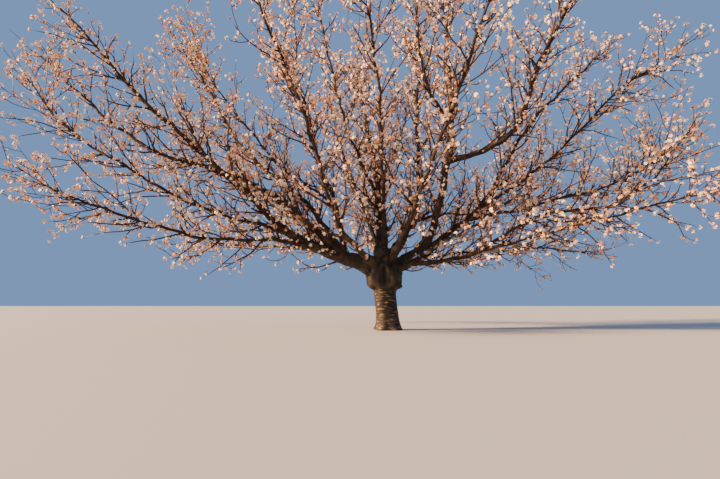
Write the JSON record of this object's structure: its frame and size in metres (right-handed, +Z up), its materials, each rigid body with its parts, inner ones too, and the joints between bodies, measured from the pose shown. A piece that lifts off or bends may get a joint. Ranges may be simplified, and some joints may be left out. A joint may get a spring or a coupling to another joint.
{
  "type": "cherry blossom tree",
  "caption": "Spreading old cherry tree in full blossom, with a short swollen trunk and long arching boughs",
  "frame": {"origin": "middle of the flat cut under the trunk, at ground level", "axes": "+Z up; the picture looks along +Y, with +X to its right"},
  "size_m": [13.3646, 8.7032, 7.4535],
  "materials": {
    "bark": "rough ridged bark",
    "blossom": "soft matt petals"
  },
  "bodies": {
    "root": {"trunk": "bark", "bough_left": "bark", "bough_left_middle": "bark", "bough_left_high": "bark", "bough_left_upright": "bark", "bough_left_low": "bark", "bough_left_far": "bark", "bough_left_inner": "bark", "bough_middle": "bark", "bough_middle_left": "bark", "bough_middle_back": "bark", "bough_right_upright": "bark", "bough_right_inner": "bark", "bough_right_spread": "bark", "bough_right_tall": "bark", "bough_right_fork": "bark", "bough_right_knee": "bark", "bough_right_out": "bark", "bough_right_far": "bark", "bough_right_low": "bark", "bough_right_lowest": "bark", "bough_back_left": "bark", "bough_back_left_low": "bark", "bough_back_middle": "bark", "bough_back_upright": "bark", "bough_back_right": "bark", "bough_back_right_low": "bark", "bough_front_left": "bark", "bough_front_middle": "bark", "bough_front_right": "bark", "sawn_stump": "bark", "blossom_left": "blossom", "blossom_left_middle": "blossom", "blossom_left_high": "blossom", "blossom_left_upright": "blossom", "blossom_left_low": "blossom", "blossom_left_far": "blossom", "blossom_left_inner": "blossom", "blossom_middle": "blossom", "blossom_middle_left": "blossom", "blossom_middle_back": "blossom", "blossom_right_upright": "blossom", "blossom_right_inner": "blossom", "blossom_right_spread": "blossom", "blossom_right_tall": "blossom", "blossom_right_fork": "blossom", "blossom_right_knee": "blossom", "blossom_right_out": "blossom", "blossom_right_far": "blossom", "blossom_right_low": "blossom", "blossom_right_lowest": "blossom", "blossom_back_left": "blossom", "blossom_back_left_low": "blossom", "blossom_back_middle": "blossom", "blossom_back_upright": "blossom", "blossom_back_right": "blossom", "blossom_back_right_low": "blossom", "blossom_front_left": "blossom", "blossom_front_middle": "blossom", "blossom_front_right": "blossom"}
  },
  "joints": []
}
